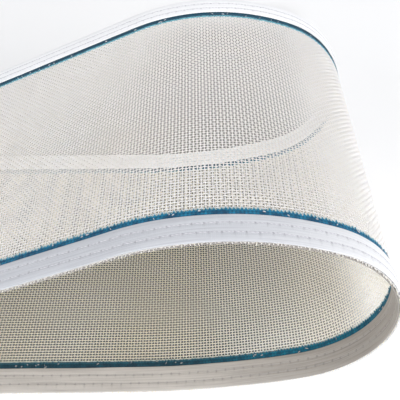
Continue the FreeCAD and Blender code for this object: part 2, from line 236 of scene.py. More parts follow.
def drawn_polyester():
    """Drawn polyester monofilament, woven and heat-set: milky white thread with a soft sheen."""
    material, tree = start_material("drawn_polyester_monofilament")
    belt, parts = belt_place(tree)
    # broad patches where the cloth has yellowed a little
    patch_size = 60.0
    patches = add_node(tree, "TexNoise", inputs={
        "Vector": belt.outputs["Vector"], "Scale": 1 / patch_size, "Detail": 3.0})
    # differences from thread to thread
    threads = add_node(tree, "TexNoise", inputs={
        "Vector": belt.outputs["Vector"], "Scale": 1 / THREAD_PITCH, "Detail": 2.0})
    both = add_node(tree, "Math", {"operation": "MULTIPLY_ADD"}, {
        0: threads.outputs["Fac"], 1: 0.45, 2: patches.outputs["Fac"]})
    yellowed = add_node(tree, "MapRange", inputs={
        "Value": both.outputs[0], "From Min": 0.45, "From Max": 1.0})
    # painted shade: the outer face is a little greyer near the joint, where the incline faces away from the
    # key lamp
    clear_of_joint_shade = joint_ramp(tree, parts, JOINT_SHADE_UP_TO, JOINT_SHADE_GONE_FROM)
    outer_fresh_with_joint_shade = add_node(tree, "Mix", COLOUR_MIX, {
        "Factor": clear_of_joint_shade.outputs[0], 6: "#f4eee9", 7: "#fdf7f2"})
    outer_stale_with_joint_shade = add_node(tree, "Mix", COLOUR_MIX, {
        "Factor": clear_of_joint_shade.outputs[0], 6: "#eee6de", 7: "#f7efe7"})
    outside = add_node(tree, "Mix", COLOUR_MIX, {
        "Factor": yellowed.outputs[0], 6: outer_fresh_with_joint_shade.outputs[2], 7: outer_stale_with_joint_shade.outputs[2]})
    # painted light and shade: the inner face is cream where it lies flat in the loop's shade, and whiter in
    # the bulged ends, where light comes in
    bulged = joint_ramp(tree, parts, FLAT_RUN_FROM, BULGED_UP_TO)
    inner_fresh_lit_and_shaded = add_node(tree, "Mix", COLOUR_MIX, {
        "Factor": bulged.outputs[0], 6: "#f5e6c0", 7: "#fdf4dc"})
    inner_stale_lit_and_shaded = add_node(tree, "Mix", COLOUR_MIX, {
        "Factor": bulged.outputs[0], 6: "#e8d4a6", 7: "#f6e9ca"})
    inside = add_node(tree, "Mix", COLOUR_MIX, {
        "Factor": yellowed.outputs[0], 6: inner_fresh_lit_and_shaded.outputs[2], 7: inner_stale_lit_and_shaded.outputs[2]})
    # a thread's side turns from the inner to the outer colour below the middle of the mesh
    face = add_node(tree, "MapRange", inputs={
        "Value": parts.outputs["Z"], "From Min": -0.40, "From Max": -0.05})
    cloth = add_node(tree, "Mix", COLOUR_MIX, {
        "Factor": face.outputs[0], 6: inside.outputs[2], 7: outside.outputs[2]})
    # the resin has stained the threads that run through its line
    across = add_node(tree, "Math", {"operation": "ABSOLUTE"}, {0: parts.outputs["Y"]})
    from_line = add_node(tree, "Math", {"operation": "SUBTRACT"}, {
        0: across.outputs[0], 1: TAPE_INNER_EDGE - RESIN_WIDTH / 2})
    distance = add_node(tree, "Math", {"operation": "ABSOLUTE"}, {0: from_line.outputs[0]})
    uneven = add_node(tree, "Math", {"operation": "MULTIPLY_ADD"}, {
        0: threads.outputs["Fac"], 1: -STAIN_UNEVEN, 2: distance.outputs[0]})
    stain = add_node(tree, "MapRange", inputs={
        "Value": uneven.outputs[0],
        "From Min": RESIN_WIDTH / 2 - STAIN_FADE[0], "From Max": RESIN_WIDTH / 2 - STAIN_FADE[1]})
    colour = add_node(tree, "Mix", COLOUR_MIX, {
        "Factor": stain.outputs[0], 6: cloth.outputs[2], 7: "#3f93a8"})
    rough = add_node(tree, "MapRange", inputs={
        "Value": threads.outputs["Fac"], "To Min": 0.40, "To Max": 0.56})
    shader = add_node(tree, "BsdfPrincipled", inputs={
        "Base Color": colour.outputs[2], "Roughness": rough.outputs[0], "IOR": 1.57,
        "Subsurface Weight": 0.95, "Subsurface Radius": (1.0, 0.95, 0.85), "Subsurface Scale": 2.0 * MM})
    finish_material(tree, shader)
    return material


def woven_tape():
    """Woven polyester tape: matt white cloth with fine ribs along its length, with painted shade in the
    needle holes and stitch furrows, and painted light and shade on its inner face.
    """
    material, tree = start_material("woven_polyester_tape")
    belt, parts = belt_place(tree)
    # ribs of the tape's own warp, drawn at half a mesh pitch so that they show
    rib = add_node(tree, "Math", {"operation": "MULTIPLY"}, {
        0: parts.outputs["Y"], 1: 2 * math.pi / (THREAD_PITCH / 2)})
    ribs = add_node(tree, "Math", {"operation": "SINE"}, {0: rib.outputs[0]})
    # the tape's weft, across it
    pick_spacing = 0.8
    pick = add_node(tree, "Math", {"operation": "MULTIPLY"}, {
        0: parts.outputs["X"], 1: 2 * math.pi / pick_spacing})
    picks = add_node(tree, "Math", {"operation": "SINE"}, {0: pick.outputs[0]})
    weave = add_node(tree, "Math", {"operation": "MULTIPLY_ADD"}, {
        0: ribs.outputs[0], 1: 0.7, 2: picks.outputs[0]})
    # long streaks where single warp threads lie higher or have soiled
    streak_length = 30.0
    streak_width = 0.7
    stretch = add_node(tree, "VectorMath", {"operation": "MULTIPLY"}, {
        0: belt.outputs["Vector"], 1: (1 / streak_length, 1 / streak_width, 1.0)})
    streaks = add_node(tree, "TexNoise", inputs={
        "Vector": stretch.outputs[0], "Scale": 1.0, "Detail": 3.0})
    clean = add_node(tree, "MapRange", inputs={
        "Value": streaks.outputs["Fac"], "From Min": 0.25, "From Max": 0.6})
    # the near tape is greyer than the far one; on the inner face this is painted shade and light: the near
    # inner tape is darkened as in the top run's shade, and the far one is painted near white in spite of
    # that shade
    far = add_node(tree, "Math", {"operation": "GREATER_THAN"}, {0: parts.outputs["Y"], 1: 0.0})
    # and the outer face of the near tape is greyer near the joint: painted shade where the incline faces
    # away from the key lamp
    clear_of_joint_shade = joint_ramp(tree, parts, JOINT_SHADE_UP_TO, JOINT_SHADE_GONE_FROM)
    outer_kept_unshaded = add_node(tree, "Math", {"operation": "MAXIMUM"}, {
        0: far.outputs[0], 1: clear_of_joint_shade.outputs[0]})
    outer_worn_with_joint_shade = add_node(tree, "Mix", COLOUR_MIX, {
        "Factor": outer_kept_unshaded.outputs[0], 6: "#b9bbc1", 7: "#f2f3f5"})
    outer_clean_with_joint_shade = add_node(tree, "Mix", COLOUR_MIX, {
        "Factor": outer_kept_unshaded.outputs[0], 6: "#cbcdd2", 7: "#fcfcfd"})
    outside = add_node(tree, "Mix", COLOUR_MIX, {
        "Factor": clean.outputs[0], 6: outer_worn_with_joint_shade.outputs[2], 7: outer_clean_with_joint_shade.outputs[2]})
    # painted shade: the near inner tape is darkest in the bulged ends, under the overhang of the top run
    bulged = joint_ramp(tree, parts, FLAT_RUN_FROM, BULGED_UP_TO)
    near_inner_worn_shaded = add_node(tree, "Mix", COLOUR_MIX, {
        "Factor": bulged.outputs[0], 6: "#a5a09a", 7: "#8b8680"})
    near_inner_clean_shaded = add_node(tree, "Mix", COLOUR_MIX, {
        "Factor": bulged.outputs[0], 6: "#bfbab4", 7: "#a39e98"})
    inner_worn_lit_and_shaded = add_node(tree, "Mix", COLOUR_MIX, {
        "Factor": far.outputs[0], 6: near_inner_worn_shaded.outputs[2], 7: "#f6f6f5"})
    inner_clean_lit_and_shaded = add_node(tree, "Mix", COLOUR_MIX, {
        "Factor": far.outputs[0], 6: near_inner_clean_shaded.outputs[2], 7: "#fdfdfc"})
    inside = add_node(tree, "Mix", COLOUR_MIX, {
        "Factor": clean.outputs[0], 6: inner_worn_lit_and_shaded.outputs[2], 7: inner_clean_lit_and_shaded.outputs[2]})
    cloth = add_node(tree, "Mix", COLOUR_MIX, {
        "Factor": parts.outputs["Z"], 6: inside.outputs[2], 7: outside.outputs[2]})
    # painted shade in the needle holes and stitch furrows
    hole = add_node(tree, "Attribute", {"attribute_name": "needle_hole_shade"})
    colour = add_node(tree, "Mix", COLOUR_MIX, {
        "Factor": hole.outputs["Fac"], 6: cloth.outputs[2], 7: "#55525a"})
    relief = add_node(tree, "Math", {"operation": "MULTIPLY_ADD"}, {
        0: streaks.outputs["Fac"], 1: 3.0, 2: weave.outputs[0]})
    bump = add_node(tree, "Bump", inputs={
        "Height": relief.outputs[0], "Strength": 0.35, "Distance": 0.06 * MM})
    shader = add_node(tree, "BsdfPrincipled", inputs={
        "Base Color": colour.outputs[2], "Roughness": 0.78, "IOR": 1.5,
        "Sheen Weight": 0.08, "Sheen Roughness": 0.5, "Normal": bump.outputs[0]})
    finish_material(tree, shader)
    return material


def sewing_thread():
    """Bonded polyester sewing thread: white, twisted, a little smoother than the tape."""
    material, tree = start_material("bonded_polyester_sewing_thread")
    belt, parts = belt_place(tree)
    # the plies of the twist, drawn 2 mm apart so that they show; at scale 1 the bands are 0.63 mm apart
    twist = add_node(tree, "TexWave", {"bands_direction": "DIAGONAL"}, {
        "Vector": belt.outputs["Vector"], "Scale": 0.32, "Distortion": 0.5})
    outside = add_node(tree, "Mix", COLOUR_MIX, {
        "Factor": twist.outputs["Fac"], 6: "#bcbbc2", 7: "#d6d5da"})
    # painted shade on the inner face: the near thread is darkened with its tape, and the far one kept pale
    far = add_node(tree, "Math", {"operation": "GREATER_THAN"}, {0: parts.outputs["Y"], 1: 0.0})
    inside = add_node(tree, "Mix", COLOUR_MIX, {
        "Factor": far.outputs[0], 6: "#a6a19d", 7: "#e2e1df"})
    colour = add_node(tree, "Mix", COLOUR_MIX, {
        "Factor": parts.outputs["Z"], 6: inside.outputs[2], 7: outside.outputs[2]})
    bump = add_node(tree, "Bump", inputs={
        "Height": twist.outputs["Fac"], "Strength": 0.4, "Distance": 0.05 * MM})
    shader = add_node(tree, "BsdfPrincipled", inputs={
        "Base Color": colour.outputs[2], "Roughness": 0.6, "IOR": 1.5, "Normal": bump.outputs[0]})
    finish_material(tree, shader)
    return material


def cured_resin():
    """Cured polyurethane resin, soaked into the weave: deep teal, half glossy, pale where it thins out."""
    material, tree = start_material("cured_polyurethane_resin")
    film = add_node(tree, "Attribute", {"attribute_name": "film"})
    place = add_node(tree, "TexCoord")
    # uneven pigment
    cloud_size = 3 * MM
    cloud = add_node(tree, "TexNoise", inputs={
        "Vector": place.outputs["Object"], "Scale": 1 / cloud_size, "Detail": 3.0})
    pigment = add_node(tree, "MapRange", inputs={
        "Value": cloud.outputs["Fac"], "From Min": 0.35, "From Max": 0.7})
    _, parts = belt_place(tree)
    # the film is thin and bright on the crests of the threads, partly a painted highlight, and deep and dark
    # between them, partly painted shade
    height = add_node(tree, "Math", {"operation": "ABSOLUTE"}, {0: parts.outputs["Z"]})
    crest = add_node(tree, "MapRange", inputs={
        "Value": height.outputs[0], "From Min": RESIN_LOW, "From Max": RESIN_HIGH})
    thin_film_and_highlight = add_node(tree, "Math", {"operation": "MULTIPLY"}, {
        0: crest.outputs[0], 1: pigment.outputs[0]})
    # painted shade: the far line, seen at a grazing angle, is darker than the near one
    far = add_node(tree, "Math", {"operation": "GREATER_THAN"}, {0: parts.outputs["Y"], 1: 0.0})
    deep = add_node(tree, "Mix", COLOUR_MIX, {
        "Factor": far.outputs[0], 6: "#064260", 7: "#07384c"})
    bright = add_node(tree, "Mix", COLOUR_MIX, {
        "Factor": far.outputs[0], 6: "#1f8bb0", 7: "#125a72"})
    outside = add_node(tree, "Mix", COLOUR_MIX, {
        "Factor": thin_film_and_highlight.outputs[0], 6: deep.outputs[2], 7: bright.outputs[2]})
    # painted shade and light: the inner face is darker where it lies flat in the loop's shade, and brighter
    # in the bulged ends
    bulged = joint_ramp(tree, parts, FLAT_RUN_FROM, BULGED_UP_TO)
    deep_in = add_node(tree, "Mix", COLOUR_MIX, {
        "Factor": bulged.outputs[0], 6: "#062c39", 7: "#00485f"})
    bright_in = add_node(tree, "Mix", COLOUR_MIX, {
        "Factor": bulged.outputs[0], 6: "#154f5f", 7: "#0f8099"})
    inside = add_node(tree, "Mix", COLOUR_MIX, {
        "Factor": thin_film_and_highlight.outputs[0], 6: deep_in.outputs[2], 7: bright_in.outputs[2]})
    face = add_node(tree, "MapRange", inputs={
        "Value": parts.outputs["Z"], "From Min": -0.15, "From Max": 0.15})
    body = add_node(tree, "Mix", COLOUR_MIX, {
        "Factor": face.outputs[0], 6: inside.outputs[2], 7: outside.outputs[2]})
    # painted shade: the fringe is darker on the inner face
    fringe = add_node(tree, "Mix", COLOUR_MIX, {
        "Factor": face.outputs[0], 6: "#467f8c", 7: "#7cc3d2"})
    colour = add_node(tree, "Mix", COLOUR_MIX, {
        "Factor": film.outputs["Fac"], 6: fringe.outputs[2], 7: body.outputs[2]})
    rough = add_node(tree, "MapRange", inputs={
        "Value": cloud.outputs["Fac"], "To Min": 0.45, "To Max": 0.62})
    shader = add_node(tree, "BsdfPrincipled", inputs={
        "Base Color": colour.outputs[2], "Roughness": rough.outputs[0], "IOR": 1.5,
        "Specular IOR Level": 0.3})
    finish_material(tree, shader)
    return material


def folded_strip():
    """Heavy woven polyester strip, folded round the pin: off-white cloth with a square weave."""
    material, tree = start_material("woven_polyester_joint_strip")
    place = add_node(tree, "TexCoord")
    weave_pitch = 0.9 * MM
    scaled = add_node(tree, "VectorMath", {"operation": "SCALE"}, {
        0: place.outputs["Object"], "Scale": 2 * math.pi / weave_pitch})
    parts = add_node(tree, "SeparateXYZ", inputs={"Vector": scaled.outputs[0]})
    lengthwise = add_node(tree, "Math", {"operation": "SINE"}, {0: parts.outputs["X"]})
    crosswise = add_node(tree, "Math", {"operation": "SINE"}, {0: parts.outputs["Y"]})
    weave = add_node(tree, "Math", {"operation": "MULTIPLY"}, {
        0: lengthwise.outputs[0], 1: crosswise.outputs[0]})
    colour = add_node(tree, "Mix", COLOUR_MIX, {
        "Factor": weave.outputs[0], 6: "#d2d0d0", 7: "#ebe9e6"})
    bump = add_node(tree, "Bump", inputs={
        "Height": weave.outputs[0], "Strength": 0.5, "Distance": 0.12 * MM})
    shader = add_node(tree, "BsdfPrincipled", inputs={
        "Base Color": colour.outputs[2], "Roughness": 0.75, "IOR": 1.5, "Normal": bump.outputs[0]})
    finish_material(tree, shader)
    return material


def drawn_pin():
    """Drawn polyester pin wire: milky, glossy, with faint draw lines along it."""
    material, tree = start_material("drawn_polyester_pin_wire")
    place = add_node(tree, "TexCoord")
    line_width = 0.2 * MM
    line_length = 20 * MM
    stretch = add_node(tree, "VectorMath", {"operation": "MULTIPLY"}, {
        0: place.outputs["Object"], 1: (1 / line_width, 1 / line_length, 1 / line_width)})
    lines = add_node(tree, "TexNoise", inputs={
        "Vector": stretch.outputs[0], "Scale": 1.0, "Detail": 2.0})
    colour = add_node(tree, "Mix", COLOUR_MIX, {
        "Factor": lines.outputs["Fac"], 6: "#d6d3c8", 7: "#eeebe2"})
    rough = add_node(tree, "MapRange", inputs={
        "Value": lines.outputs["Fac"], "To Min": 0.18, "To Max": 0.35})
    shader = add_node(tree, "BsdfPrincipled", inputs={
        "Base Color": colour.outputs[2], "Roughness": rough.outputs[0], "IOR": 1.57})
    finish_material(tree, shader)
    return material


POLYESTER = drawn_polyester()
TAPE = woven_tape()
THREAD = sewing_thread()
RESIN = cured_resin()
STRIP = folded_strip()
PIN = drawn_pin()


def make_piece(name, groups, material, nodes, folds=1, marks=None):
    """One mesh piece that rides on the belt, made of groups of capped tubes.

    A group has the shape (tubes, rings, points round a ring, 3), with places on the belt as its last axis.
    folds is how often each tube is folded side by side on the map that its finish is baked to. marks are
    numbers for each point that a material reads by name.
    """
    places, corners, sizes, charts = [], [], [], []
    first = 0
    for number, group in enumerate(groups):
        tubes, rings, around, _ = group.shape
        index = first + np.arange(tubes * rings * around).reshape(tubes, rings, around)
        first += index.size
        beside = np.roll(index, -1, axis=2)
        sides = np.stack([index[:, :-1], beside[:, :-1], beside[:, 1:], index[:, 1:]], axis=-1)
        caps = np.concatenate([index[:, 0, ::-1], index[:, -1]])
        places.append(group.reshape(-1, 3))
        corners += [sides.ravel(), caps.ravel()]
        sizes += [np.full(sides.size // 4, 4), np.full(len(caps), around)]
        charts += bake_chart(tubes, rings, around, folds, number, len(groups))
    places = np.concatenate(places)
    corners = np.concatenate(corners).astype(np.int32)
    starts = np.concatenate([[0], np.cumsum(np.concatenate(sizes))[:-1]]).astype(np.int32)
    mesh = bpy.data.meshes.new(name)
    mesh.vertices.add(len(places))
    mesh.vertices.foreach_set("co", on_belt(*places.T).astype(np.float32).ravel())
    mesh.loops.add(len(corners))
    mesh.loops.foreach_set("vertex_index", corners)
    mesh.polygons.add(len(starts))
    mesh.polygons.foreach_set("loop_start", starts)
    mesh.uv_layers.new(name="OFBake").uv.foreach_set("vector", np.concatenate(charts).ravel())
    place = mesh.attributes.new("belt_place", "FLOAT_VECTOR", "POINT")
    place.data.foreach_set("vector", places.astype(np.float32).ravel())
    for mark, values in (marks or {}).items():
        attribute = mesh.attributes.new(mark, "FLOAT", "POINT")
        attribute.data.foreach_set("value", values.astype(np.float32).ravel())
    mesh.update(calc_edges=True)
    mesh.shade_smooth()
    mesh.materials.append(material)
    piece = bpy.data.objects.new(name, mesh)
    bpy.context.scene.collection.objects.link(piece)
    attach(piece, "belt")
    if nodes:
        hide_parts(*nodes)
    return piece


def bake_chart(tubes, rings, around, folds, number, groups):
    """Where each corner of a group lies on the square map that its finish is baked to."""
    side_gap, end_gap = 0.05, 0.01
    width, length = 1 - 2 * side_gap, 1 - 2 * end_gap
    steps = math.ceil((rings - 1) / folds)
    tube, ring, turn = np.meshgrid(np.arange(tubes), np.arange(rings - 1), np.arange(around), indexing="ij")
    column = tube * folds + ring // steps
    left = (column + side_gap + width * turn / around) / (tubes * folds)
    right = (column + side_gap + width * (turn + 1) / around) / (tubes * folds)
    low = (number + end_gap + length * (ring % steps) / steps) / groups
    high = (number + end_gap + length * (ring % steps + 1) / steps) / groups
    sides = np.stack([left, low, right, low, right, high, left, high], axis=-1)
    tips = np.zeros((2 * tubes * around, 2))
    tips[:, 0] = np.tile(np.repeat((np.arange(tubes) * folds + 0.5) / (tubes * folds), around), 2)
    tips[:, 1] = (number + 0.5) / groups
    return [sides.reshape(-1, 2).astype(np.float32), tips.astype(np.float32)]


def ring_angles(around):
    return np.arange(around) * 2 * math.pi / around


def lengthwise_tubes(along, across, height, half_width, half_height, around=4):
    """Tubes that run along the belt; along, across and height have the shape (tubes, rings)."""
    angle = ring_angles(around)
    return np.stack(np.broadcast_arrays(
        along[..., None],
        across[..., None] + half_width * np.cos(angle),
        height[..., None] + half_height * np.sin(angle),
    ), axis=-1)


def crosswise_tubes(along, across, height, half_width, half_height, around=4):
    """Tubes that run across the belt, with shapes as above."""
    angle = ring_angles(around)
    return np.stack(np.broadcast_arrays(
        along[..., None] - half_width * np.cos(angle),
        across[..., None],
        height[..., None] + half_height * np.sin(angle),
    ), axis=-1)


WEFT_COUNT = int((LOOP_LENGTH - 2 * MESH_END) / THREAD_PITCH)
WEFT_ALONG = HALF_LENGTH + (np.arange(WEFT_COUNT) - (WEFT_COUNT - 1) / 2) * THREAD_PITCH
ALL_WARPS = 2 * int(HALF_BELT / THREAD_PITCH)
ALL_WARP_ACROSS = (np.arange(ALL_WARPS) - (ALL_WARPS - 1) / 2) * THREAD_PITCH
OPEN_WARPS = np.flatnonzero(np.abs(ALL_WARP_ACROSS) < TAPE_INNER_EDGE + THREAD_PITCH)
EDGE_WARPS = 2              # warps next to each edge that show between the two tapes
WARP_WAVE = 0.24            # a warp bends this far each way to pass the wefts that it crosses
WEFT_WAVE = 0.24            # and a weft this far
HALF_WARP = (WARP_WIDTH / 2, WARP_HEIGHT / 2)
HALF_WEFT = (WEFT_WIDTH / 2, WEFT_HEIGHT / 2)
WEAVE_STRETCHES = 13
EDGE_WEFTS_FROM = 3         # pitches inside the cut edge, where the loose ends of the wefts start
WEFT_END_LENGTH = 0.25      # mean and spread of what stands out past the tapes
WEFT_END_LEAST = 0.1
WEFT_END_BEND = 0.25
WEFT_END_LIFT = 0.22
FIBRE_COUNT = 150           # loose fibres on one edge
FIBRE_RADIUS = 0.05
FIBRE_ROOT = 0.6            # inside the tape's edge
FIBRE_LEAST = 0.4
WARP_DRIFT = np.random.default_rng(3).normal(0, 0.012, ALL_WARPS)
WEFT_DRIFT = np.random.default_rng(4).normal(0, 0.025, WEFT_COUNT)


def crests_and_ends(middles):
    """Two places on each crossing of a thread, a quarter pitch each side of it, and one beyond each end."""
    quarter = THREAD_PITCH / 4
    pairs = np.stack([middles - quarter, middles + quarter], axis=-1).ravel()
    return np.concatenate([[middles[0] - 2 * quarter], pairs, [middles[-1] + 2 * quarter]])


def wave_heights(threads, crossed, crest):
    """Heights of the threads of a plain weave at crests_and_ends of the threads that they cross."""
    over = (threads[:, None] + crossed[None, :]) % 2 == 0
    heights = np.repeat(np.where(over, crest, -crest), 2, axis=1)
    level = np.zeros((len(threads), 1))
    return np.concatenate([level, heights, level], axis=1)


def warp_tubes(warps, wefts):
    """Threads along the belt over a run of wefts."""
    along = np.tile(crests_and_ends(WEFT_ALONG[wefts]), (len(warps), 1))
    across = np.broadcast_to((ALL_WARP_ACROSS + WARP_DRIFT)[warps][:, None], along.shape)
    return lengthwise_tubes(along, across, wave_heights(warps, wefts, WARP_WAVE), *HALF_WARP)


def weft_tubes(wefts, warps):
    """Threads across the belt over a run of warps."""
    across = np.tile(crests_and_ends(ALL_WARP_ACROSS[warps]), (len(wefts), 1))
    along = np.broadcast_to((WEFT_ALONG + WEFT_DRIFT)[wefts][:, None], across.shape)
    return crosswise_tubes(along, across, wave_heights(wefts, warps, -WEFT_WAVE), *HALF_WEFT)


def weave_mesh():
    """The plain-woven cloth inside the tapes, in stretches that stay light pieces."""
    bounds = np.linspace(0, WEFT_COUNT, WEAVE_STRETCHES + 1).astype(int)
    for number, (first, last) in enumerate(zip(bounds[:-1], bounds[1:]), start=1):
        wefts = np.arange(first, last)
        name = "mesh_weave_%02d" % number
        threads = [warp_tubes(OPEN_WARPS, wefts), weft_tubes(wefts, OPEN_WARPS)]
        piece = make_piece(name, threads, POLYESTER, ["mesh_fabric"])


def frayed_edge(edge, side, seed):
    """The cut edge of the mesh between the tapes: the last warps, the ends of the wefts and loose fibres."""
    draw = np.random.default_rng(seed)
    last = np.arange(ALL_WARPS - EDGE_WARPS, ALL_WARPS) if side > 0 else np.arange(EDGE_WARPS)
    warps = warp_tubes(last, np.arange(WEFT_COUNT))
    inside = HALF_BELT - EDGE_WEFTS_FROM * THREAD_PITCH
    stands_out = np.abs(draw.normal(WEFT_END_LENGTH, WEFT_END_LENGTH, WEFT_COUNT)) + WEFT_END_LEAST
    reach = TAPE_OUTER_EDGE + stands_out
    share = np.array([0.0, 0.75, 0.9, 1.0])
    across = side * (inside + (reach - inside)[:, None] * share)
    bend = draw.normal(0, WEFT_END_BEND, WEFT_COUNT)[:, None] * np.array([0, 0, 0.3, 1.0])
    along = (WEFT_ALONG + WEFT_DRIFT)[:, None] + bend
    height = draw.normal(0, WEFT_END_LIFT, WEFT_COUNT)[:, None] * np.array([1.0, 1.0, 1.0, 1.4])
    slim = np.array([1.0, 1.0, 0.95, 0.75])[:, None]
    ends = crosswise_tubes(along, across, height, HALF_WEFT[0] * slim, HALF_WEFT[1] * slim)
    if side < 0:
        ends = ends[:, ::-1]
    make_piece(edge + "_frayed_edge", [warps, ends], POLYESTER, ["mesh_fabric"], folds=4)
    fibres = loose_fibres(draw, side)
    make_piece(edge + "_loose_fibres", [fibres], POLYESTER, None)


def loose_fibres(draw, side):
    """Fine fibres that have worked loose from the cut edge, each on a curve of its own."""
    count = (FIBRE_COUNT, 1)
    share = np.linspace(0, 1, 7)
    start = draw.uniform(TAPE_START, LOOP_LENGTH - TAPE_START, count)
    length = draw.gamma(2.0, 0.6, count) + FIBRE_LEAST
    lean = draw.normal(0, 1.0, count)
    curl = draw.normal(0, 1.2, count)
    lift = draw.normal(0, 0.35, count)
    along = start + length * (lean * share + curl * share ** 2)
    across = side * (TAPE_OUTER_EDGE - FIBRE_ROOT + length * (share - 0.35 * share ** 3))
    height = np.clip(length * lift * share ** 2, -MESH_FACE, MESH_FACE) + draw.uniform(-0.5, 0.5, count)
    fibres = crosswise_tubes(along, across, height, FIBRE_RADIUS, FIBRE_RADIUS)
    return fibres if side > 0 else fibres[:, ::-1]


class StitchRow:
    """One row of lockstitch along a tape: where its needle holes are."""

    def __init__(self, inset, seed):
        draw = np.random.default_rng(seed)
        count = int((TAPE_LENGTH - 2 * SEWING_MARGIN) / STITCH_PITCH)
        self.start = TAPE_START + SEWING_MARGIN + draw.uniform(0, STITCH_PITCH)
        self.along = self.start + np.arange(count) * STITCH_PITCH + draw.normal(0, STITCH_UNEVEN, count)
        waver = ROW_WAVER * np.sin(self.along / ROW_WAVER_LENGTH + draw.uniform(0, 6))
        stray = draw.normal(0, STITCH_STRAY, count)
        self.across = TAPE_INNER_EDGE + inset + (waver + stray)

    def offsets(self, along, across):
        """Distances of places from their nearest needle hole, along and across the belt."""
        nearest = np.rint((along - self.start) / STITCH_PITCH).astype(int)
        nearest = np.clip(nearest, 0, len(self.along) - 1)
        line = np.interp(along, self.along, self.across)
        return along - self.along[nearest], across - line


# the holes and furrows that the sewing pulls into a tape: depth, spread and the share of painted shade in
# them
HOLE_DEPTH = 0.42
HOLE_SPREAD = 0.30
HOLE_SHADE = 0.9
GROOVE_DEPTH = 0.10
GROOVE_SPREAD = 0.26
GROOVE_SHADE = 0.16
TAPE_STEP = 0.4
ROUNDED_EDGE = 0.4          # width of a tape's rounded edge
EDGE_DROP = 0.22            # and how far it drops
EDGE_WANDER = ((0.12, 23.0), (0.08, 9.1))   # waves in its line: how far, and the length for each radian


def bell(distance, spread):
    return np.exp(-(distance / spread) ** 2 / 2)


def tape_columns():
    """Places across a tape, closer together at its edges and along its stitch rows."""
    edge = np.array([0.0, 0.10, 0.40])
    beside = np.array([-0.9, -0.42, -0.2, 0.0, 0.2, 0.42, 0.9])
    middle = np.array([sum(STITCH_ROWS) / 2])
    rows = [inset + beside for inset in STITCH_ROWS]
    return np.concatenate([edge, rows[0], middle, rows[1], TAPE_WIDTH - edge[::-1]])


def edge_tape(name, side, face, rows, seed):
    """A woven tape with the holes and furrows that its sewing pulls into it."""
    draw = np.random.default_rng(seed)
    along = np.linspace(TAPE_START, LOOP_LENGTH - TAPE_START, int(TAPE_LENGTH / TAPE_STEP))[:, None]
    columns = tape_columns()
    across = TAPE_INNER_EDGE + columns[None, :]
    rounding = np.clip(np.minimum(columns, TAPE_WIDTH - columns) / ROUNDED_EDGE, 0, 1)
    top = TAPE_TOP - EDGE_DROP * (1 - rounding) ** 2 + np.zeros_like(along)
    hole = np.zeros_like(top)
    for row in rows:
        ahead, beside = row.offsets(along, across)
        pulled = bell(np.hypot(ahead, beside), HOLE_SPREAD)
        furrow = bell(beside, GROOVE_SPREAD)
        top = top - HOLE_DEPTH * pulled - GROOVE_DEPTH * furrow
        # painted shade in the needle holes and along the stitch furrows
        hole = np.maximum(hole, np.maximum(HOLE_SHADE * pulled, GROOVE_SHADE * furrow))
    # cut edges wander a little where the tape was slit and sewn
    wander = sum(far * np.sin(along / length + draw.uniform(0, 6)) for far, length in EDGE_WANDER)
    across = across + wander * (np.abs(columns / TAPE_WIDTH - 0.5) * 2) ** 4
    under = np.full_like(top[:, :2], TAPE_FACE)
    ring_across = np.concatenate([across[:, ::-1], across[:, :1], across[:, -1:]], axis=1)
    ring_height = np.concatenate([top[:, ::-1], under], axis=1)
    ring_hole = np.concatenate([hole[:, ::-1], under * 0], axis=1)
    rings = np.stack(np.broadcast_arrays(along, side * ring_across, face * ring_height), axis=-1)
    if side * face < 0:
        rings = rings[:, ::-1]
        ring_hole = ring_hole[:, ::-1]
    piece = make_piece(name + "_cloth", [rings[None]], TAPE, [name], folds=7,
                       marks={"needle_hole_shade": ring_hole})


def stitches(name, side, face, row):
    """The thread of one row on one face, up through each needle hole and down through the next."""
    share = np.array([0.0, 0.05, 0.12, 0.3, 0.7, 0.88, 0.95, 1.0])
    sunk = np.array([-0.45, -0.28, -0.12, -0.07, -0.07, -0.12, -0.28, -0.45])
    along = row.along[:-1, None] + np.diff(row.along)[:, None] * share
    across = row.across[:-1, None] + np.diff(row.across)[:, None] * share
    height = np.broadcast_to(TAPE_TOP + sunk, along.shape)
    tubes = lengthwise_tubes(along, across, height, STITCH_RADIUS, STITCH_RADIUS, around=5)
    tubes = tubes * np.array([1, side, face])
    if side * face < 0:
        tubes = tubes[:, :, ::-1]
    make_piece(name + "_stitches", [tubes], THREAD, [name])


